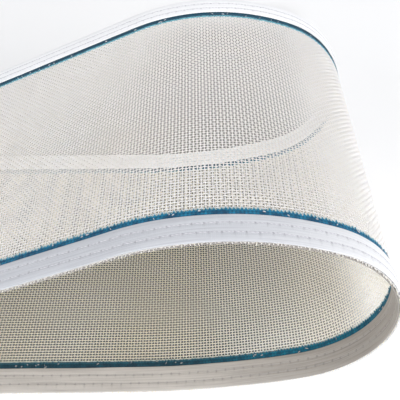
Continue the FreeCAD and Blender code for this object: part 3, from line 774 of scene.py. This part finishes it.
def resin_line(edge, side, seed):
    """Resin in the weave beside the tapes: it keeps the bumps of the threads and creeps along the wefts."""
    draw = np.random.default_rng(seed)
    along = np.arange(WEFT_ALONG[0], WEFT_ALONG[-1], THREAD_PITCH / 4)
    weft = np.rint((along - WEFT_ALONG[0]) / THREAD_PITCH).astype(int)
    on_weft = 0.5 + 0.5 * np.cos(2 * math.pi * (along - WEFT_ALONG[0]) / THREAD_PITCH)
    creep = draw.uniform(*RESIN_CREEP, WEFT_COUNT)[weft] * on_weft ** 1.3
    inner = TAPE_INNER_EDGE - RESIN_WIDTH + RESIN_HOLLOW - creep
    share = np.linspace(0, 1, 14)
    across = inner[:, None] + (TAPE_INNER_EDGE + RESIN_UNDER_TAPE - inner)[:, None] * share
    ridges = np.cos(2 * math.pi * (along[:, None] - WEFT_ALONG[0]) / THREAD_PITCH)
    ridges = ridges + np.cos(2 * math.pi * (across - ALL_WARP_ACROSS[-1]) / THREAD_PITCH)
    height = (RESIN_LOW + RESIN_HIGH) / 2 + (RESIN_HIGH - RESIN_LOW) / 4 * ridges
    # the film thins out towards the tips of its teeth
    height = height * np.clip(0.55 + share * 6, 0, 1)
    ring_across = np.concatenate([across[:, ::-1], across], axis=1)
    ring_height = np.concatenate([height[:, ::-1], -height], axis=1)
    film = np.clip(share * 4.5, 0, 1)[None, :] + np.zeros_like(across)
    film = np.concatenate([film[:, ::-1], film], axis=1)
    rings = np.stack(np.broadcast_arrays(along[:, None], side * ring_across, ring_height), axis=-1)
    if side < 0:
        rings = rings[:, ::-1]
        film = film[:, ::-1]
    make_piece(edge + "_resin", [rings[None]], RESIN, [edge + "_resin_line"], folds=9,
               marks={"film": film})
    specks(edge, side, draw)


SPECK_COUNT = 110           # on one face of a resin line
SPECK_LENGTH = (0.35, 0.9)  # from the middle to an end
SPECK_PLACE = (0.6, 2.4, 4.2)   # from the tape's inner edge: nearest, most often and farthest
SPECK_TURN = 1.2            # radians each way from the belt's length
SPECK_HEIGHT = (0.66, 0.78)
SPECK_HALF_WIDTH = 0.36
SPECK_HALF_HEIGHT = 0.26


def specks(edge, side, draw):
    """Bits of white thread that stand through the resin beside the tape."""
    count = (SPECK_COUNT, 1)
    share = np.array([-1.0, -0.6, 0.0, 0.6, 1.0])
    swell = np.array([0.25, 0.85, 1.0, 0.85, 0.25])[:, None]
    for face, name in ((1, "outer"), (-1, "inner")):
        start = draw.uniform(TAPE_START, LOOP_LENGTH - TAPE_START, count)
        length = draw.uniform(*SPECK_LENGTH, count)
        middle = TAPE_INNER_EDGE - draw.triangular(*SPECK_PLACE, count)
        turn = draw.uniform(-SPECK_TURN, SPECK_TURN, count)
        along = start + length * share * np.cos(turn)
        across = middle + length * share * np.sin(turn)
        height = np.broadcast_to(draw.uniform(*SPECK_HEIGHT, count), along.shape)
        tubes = lengthwise_tubes(along, across, height, SPECK_HALF_WIDTH * swell, SPECK_HALF_HEIGHT * swell,
                                 around=5)
        tubes = tubes * np.array([1, side, face])
        if side * face < 0:
            tubes = tubes[:, :, ::-1]
        make_piece("%s_%s_resin_specks" % (edge, name), [tubes], THREAD, None)


JOINT_ROWS = (9.0, 17.0)    # from the pin's axis
JOINT_ROW_MARGIN = 3.0
JOINT_STITCH_PITCH = 4.0
STRIP_ROUNDING = 0.15


def joint_stitches(name, end, face, distance):
    """One row of sewing across a joint strip."""
    count = int((2 * HALF_BELT - 2 * JOINT_ROW_MARGIN) / JOINT_STITCH_PITCH)
    start = -HALF_BELT + JOINT_ROW_MARGIN + np.arange(count)[:, None] * JOINT_STITCH_PITCH
    share = np.array([0.02, 0.08, 0.2, 0.5, 0.8, 0.92, 0.98])
    lift = np.array([-0.2, 0.02, 0.12, 0.15, 0.12, 0.02, -0.2])
    across = start + share * JOINT_STITCH_PITCH
    along = np.full_like(across, distance if end == "right" else LOOP_LENGTH - distance)
    height = np.broadcast_to(TAPE_TOP + lift, across.shape)
    tubes = crosswise_tubes(along, across, height, STITCH_RADIUS, STITCH_RADIUS, around=6)
    tubes = tubes * np.array([1, 1, face])
    if face < 0:
        tubes = tubes[:, :, ::-1]
    make_piece(name + "_stitches", [tubes], THREAD, [name])


def joint_strip(node):
    """A folded strip with the soft edges of cut and pressed cloth."""
    strip = bpy.data.objects.new(node + "_cloth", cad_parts[node].data.copy())
    bpy.context.scene.collection.objects.link(strip)
    soften = strip.modifiers.new("soft_edges", "BEVEL")
    soften.width = STRIP_ROUNDING * MM
    soften.segments = 2
    soften.limit_method = "ANGLE"
    strip.data.materials.clear()
    strip.data.materials.append(STRIP)
    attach(strip, "belt")
    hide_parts(node)


def sewn_edges():
    """Both edges of the belt: tapes on both faces, their sewing, the resin lines and the mesh's cut edge."""
    for edge, side, seed in (("far", 1, 100), ("near", -1, 200)):
        rows = [StitchRow(inset, seed + number) for number, inset in enumerate(STITCH_ROWS)]
        for face_name, face, thread in (("outer", 1, "needle"), ("inner", -1, "bobbin")):
            edge_tape("%s_%s_tape" % (edge, face_name), side, face, rows, seed + 10 + face)
            for number, row in enumerate(rows, start=1):
                stitches("%s_tape_row_%d_%s_thread" % (edge, number, thread), side, face, row)
        resin_line(edge, side, seed + 20)
        frayed_edge(edge, side, seed + 30)


def pinned_joint():
    """The two folded strips, their sewing and the pin."""
    for end in ("right", "left"):
        joint_strip(end + "_joint_strip")
        for number, distance in enumerate(JOINT_ROWS, start=1):
            for face, thread in ((1, "needle"), (-1, "bobbin")):
                joint_stitches("%s_joint_row_%d_%s_thread" % (end, number, thread), end, face, distance)
    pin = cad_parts["joint_pin"]
    pin.data.materials.clear()
    pin.data.materials.append(PIN)


def aim_camera():
    """The camera at the photograph's viewing angle."""
    data = bpy.data.cameras.new("photo_camera")
    data.sensor_width = SENSOR_WIDTH
    data.lens = FOCAL_PIXELS / PHOTO_SIZE * SENSOR_WIDTH
    camera = bpy.data.objects.new("photo_camera", data)
    camera.location = [c * MM for c in CAMERA_PLACE]
    camera.rotation_euler = (math.radians(90 - CAMERA_PITCH), 0.0, -math.radians(CAMERA_YAW))
    bpy.context.scene.collection.objects.link(camera)
    bpy.context.scene.camera = camera


# The lamps and the floor, in metres; a soft box has the direction that it stands in and its power in watts
LAMP_AIM = np.array((0.12, 0.0, 0.06))
LAMP_DISTANCE = 2.4
LAMP_SIZE = 1.7
SOFT_BOXES = (
    ("key_soft_box", (0.55, -0.55, 0.63), 51.0),
    ("back_soft_box", (0.20, 0.74, 0.64), 6.5),
    ("fill_soft_box", (-0.70, -0.62, 0.36), 34.0),
)
SKY_LIGHT = 0.32            # strength of the sky as light on the object
SKY_SEEN = 0.95             # and in the picture
FLOOR_LEVEL = -0.15 * MM
FLOOR_REACH = 60.0

# Where the floor is painted with shade: under the belt, where it covers the floor, and behind it, each from
# none to full
COVERED_ENDS = (0.328, 0.284)       # from the middle of the belt, along it
COVERED_BACK = (0.098, 0.080)
COVERED_FRONT = (-0.098, -0.085)
EDGE_RISES = (0.167, 0.300)         # from the middle, where the belt lifts off the floor
RISEN_SET_BACK = 0.028              # how far the covered floor then starts further back
LIT_ENDS = (0.200, 0.285)           # from the middle, where light comes in under the belt
SHADE_SIDE = (-0.060, 0.050)        # along the belt, the left side of the shade
SHADE_SLANT = 0.6                   # how far that side moves to the right on its way back
SHADE_BACK = (0.350, 0.270)
PALE_AWAY = (0.7, 3.5)              # from the middle, where the floor in the picture gets paler
PALENESS = (0.13, 0.62)             # its glow before and after that


def light_studio():
    """An even sky, a broad soft lamp at the front right, a low one at the front left, a weak one behind."""
    scene = bpy.context.scene
    scene.view_settings.view_transform = "Standard"
    world = bpy.data.worlds.new("studio_sky")
    world.use_nodes = True
    tree = world.node_tree
    tree.nodes.clear()
    seen = seen_rays(tree)
    strength = add_node(tree, "MapRange", inputs={
        "Value": seen.outputs[0], "To Min": SKY_LIGHT, "To Max": SKY_SEEN})
    sky = add_node(tree, "Background", inputs={
        "Color": "#f6f8ff", "Strength": strength.outputs[0]})
    add_node(tree, "OutputWorld", inputs={"Surface": sky.outputs[0]})
    scene.world = world
    for name, side, power in SOFT_BOXES:
        lamp = bpy.data.lights.new(name, "AREA")
        lamp.shape = "SQUARE"
        lamp.size = LAMP_SIZE
        lamp.energy = power
        box = bpy.data.objects.new(name, lamp)
        box.location = LAMP_AIM + LAMP_DISTANCE * np.array(side)
        box.rotation_euler = Vector(side).to_track_quat("Z", "Y").to_euler()
        scene.collection.objects.link(box)


def lay_floor():
    """A plain pale floor, with painted shade where the belt covers it and behind its right-hand half, for
    the dark ground seen through the mesh.
    """
    floor_mesh = bpy.data.meshes.new("floor")
    corners = [(-1, -1), (1, -1), (1, 1), (-1, 1)]
    points = [(x * FLOOR_REACH, y * FLOOR_REACH, FLOOR_LEVEL) for x, y in corners]
    floor_mesh.from_pydata(points, [], [(0, 1, 2, 3)])
    floor = bpy.data.objects.new("floor", floor_mesh)
    material, tree = start_material("pale_studio_floor")
    place = add_node(tree, "TexCoord")
    parts = add_node(tree, "SeparateXYZ", inputs={"Vector": place.outputs["Object"]})
    from_middle = add_node(tree, "Math", {"operation": "ABSOLUTE"}, {0: parts.outputs["X"]})
    between_ends = add_node(tree, "MapRange", SMOOTH_STEP, {
        "Value": from_middle.outputs[0], "From Min": COVERED_ENDS[0], "From Max": COVERED_ENDS[1]})
    before_back = add_node(tree, "MapRange", SMOOTH_STEP, {
        "Value": parts.outputs["Y"], "From Min": COVERED_BACK[0], "From Max": COVERED_BACK[1]})
    # the belt rises towards its ends, and the floor shows further in under its edge
    risen = add_node(tree, "MapRange", inputs={
        "Value": from_middle.outputs[0], "From Min": EDGE_RISES[0], "From Max": EDGE_RISES[1]})
    bend = add_node(tree, "Math", {"operation": "MULTIPLY"}, {
        0: risen.outputs[0], 1: risen.outputs[0]})
    set_back = add_node(tree, "Math", {"operation": "MULTIPLY_ADD"}, {
        0: bend.outputs[0], 1: -RISEN_SET_BACK, 2: parts.outputs["Y"]})
    behind_front = add_node(tree, "MapRange", SMOOTH_STEP, {
        "Value": set_back.outputs[0], "From Min": COVERED_FRONT[0], "From Max": COVERED_FRONT[1]})
    across = add_node(tree, "Math", {"operation": "MULTIPLY"}, {
        0: before_back.outputs[0], 1: behind_front.outputs[0]})
    covered = add_node(tree, "Math", {"operation": "MULTIPLY"}, {
        0: across.outputs[0], 1: between_ends.outputs[0]})
    # soft shade behind the right-hand half
    aslant = add_node(tree, "Math", {"operation": "MULTIPLY_ADD"}, {
        0: parts.outputs["Y"], 1: -SHADE_SLANT, 2: parts.outputs["X"]})
    to_right = add_node(tree, "MapRange", SMOOTH_STEP, {
        "Value": aslant.outputs[0], "From Min": SHADE_SIDE[0], "From Max": SHADE_SIDE[1]})
    near_back = add_node(tree, "MapRange", SMOOTH_STEP, {
        "Value": parts.outputs["Y"], "From Min": SHADE_BACK[0], "From Max": SHADE_BACK[1]})
    behind = add_node(tree, "Math", {"operation": "MULTIPLY"}, {
        0: to_right.outputs[0], 1: near_back.outputs[0]})
    within = add_node(tree, "Math", {"operation": "MULTIPLY"}, {
        0: behind_front.outputs[0], 1: between_ends.outputs[0]})
    shaded = add_node(tree, "Math", {"operation": "MULTIPLY"}, {
        0: behind.outputs[0], 1: within.outputs[0]})
    open_floor = add_node(tree, "Mix", COLOUR_MIX, {
        "Factor": shaded.outputs[0], 6: "#f4f4f4", 7: "#67625a"})
    # painted shade under the belt, warmer and paler towards the ends, where light comes in under it
    to_ends = add_node(tree, "MapRange", SMOOTH_STEP, {
        "Value": from_middle.outputs[0], "From Min": LIT_ENDS[0], "From Max": LIT_ENDS[1]})
    painted_shade_under_belt = add_node(tree, "Mix", COLOUR_MIX, {
        "Factor": to_ends.outputs[0], 6: "#17130e", 7: "#8b8477"})
    colour = add_node(tree, "Mix", COLOUR_MIX, {
        "Factor": covered.outputs[0], 6: open_floor.outputs[2], 7: painted_shade_under_belt.outputs[2]})
    # the camera sees the open floor a little paler than the lamps light it
    seen = seen_rays(tree)
    # and far off, where the lamps don't reach, it stays pale up to the horizon
    away = add_node(tree, "VectorMath", {"operation": "LENGTH"}, {0: place.outputs["Object"]})
    pale = add_node(tree, "MapRange", inputs={
        "Value": away.outputs["Value"], "From Min": PALE_AWAY[0], "From Max": PALE_AWAY[1],
        "To Min": PALENESS[0], "To Max": PALENESS[1]})
    seen_glow = add_node(tree, "Math", {"operation": "MULTIPLY"}, {
        0: seen.outputs[0], 1: pale.outputs[0]})
    dark = add_node(tree, "Math", {"operation": "MAXIMUM"}, {
        0: covered.outputs[0], 1: shaded.outputs[0]})
    glow = add_node(tree, "MapRange", inputs={
        "Value": dark.outputs[0], "To Min": seen_glow.outputs[0], "To Max": 0.0})
    shader = add_node(tree, "BsdfPrincipled", inputs={
        "Base Color": colour.outputs[2], "Roughness": 0.9,
        "Emission Color": "#ffffff", "Emission Strength": glow.outputs[0]})
    finish_material(tree, shader)
    floor_mesh.materials.append(material)
    bpy.context.scene.collection.objects.link(floor)


weave_mesh()
sewn_edges()
pinned_joint()
aim_camera()
light_studio()
lay_floor()
